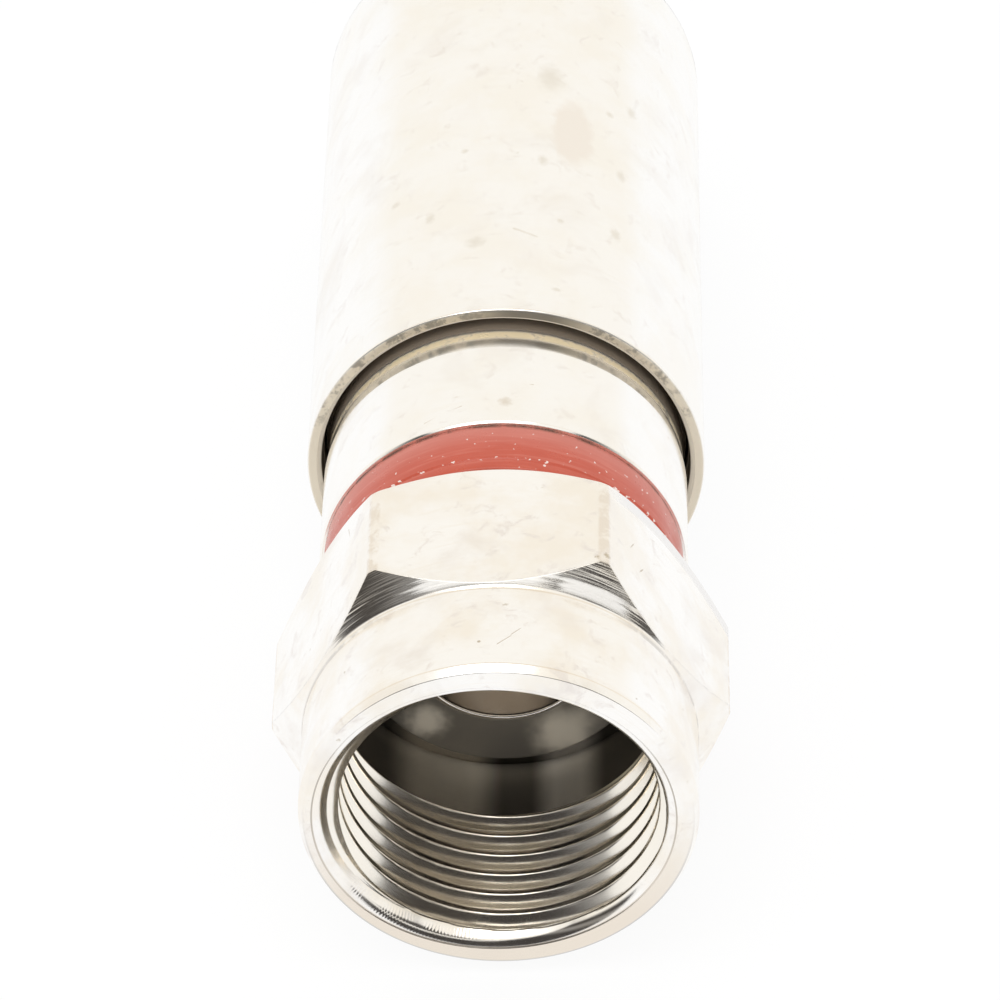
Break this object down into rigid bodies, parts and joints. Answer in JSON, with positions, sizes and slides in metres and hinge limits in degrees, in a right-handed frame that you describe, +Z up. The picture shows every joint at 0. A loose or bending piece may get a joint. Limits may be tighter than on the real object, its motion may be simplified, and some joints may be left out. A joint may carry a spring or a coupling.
{
  "type": "compression f connector",
  "caption": "Compression F connector for coaxial cable: hex coupling nut that turns on a hollow post, body with a red ring, and a sliding compression sleeve.",
  "frame": {"origin": "on the axis, at the front face of the coupling nut, where the thread opens", "axes": "+Y along the axis towards the cable end, -Y out of the nut's mouth, +Z up as the connector lies on its side with a flat of the hex on top"},
  "size_m": [0.0126, 0.0346, 0.0116],
  "materials": {
    "nut_nickel": "bright nickel plate over turned brass, fine turning marks",
    "body_nickel": "bright nickel plate over turned brass",
    "sleeve_nickel": "bright nickel plate over brass tube, small pits and one brown stain",
    "post_tin": "tin plate over turned brass",
    "red_plastic": "moulded red plastic with dust on it",
    "black_rubber": "moulded rubber",
    "white_acetal": "turned acetal"
  },
  "bodies": {
    "connector_body": {"body": "body_nickel", "post": "post_tin", "nut_seal": "black_rubber", "colour_ring": "red_plastic", "sleeve_seal": "black_rubber"},
    "nut": {"coupling_nut": "nut_nickel"},
    "sleeve": {"compression_sleeve": "sleeve_nickel", "grip_ring": "white_acetal"}
  },
  "joints": [
    {"name": "nut_spin", "type": "hinge", "parent": "connector_body", "child": "nut", "pos_m": [0, 0.0078, 0], "axis": [0, 1, 0], "continuous": true},
    {"name": "sleeve_slide", "type": "slide", "parent": "connector_body", "child": "sleeve", "axis": [0, -1, 0], "range_m": [0, 0.0042]}
  ]
}
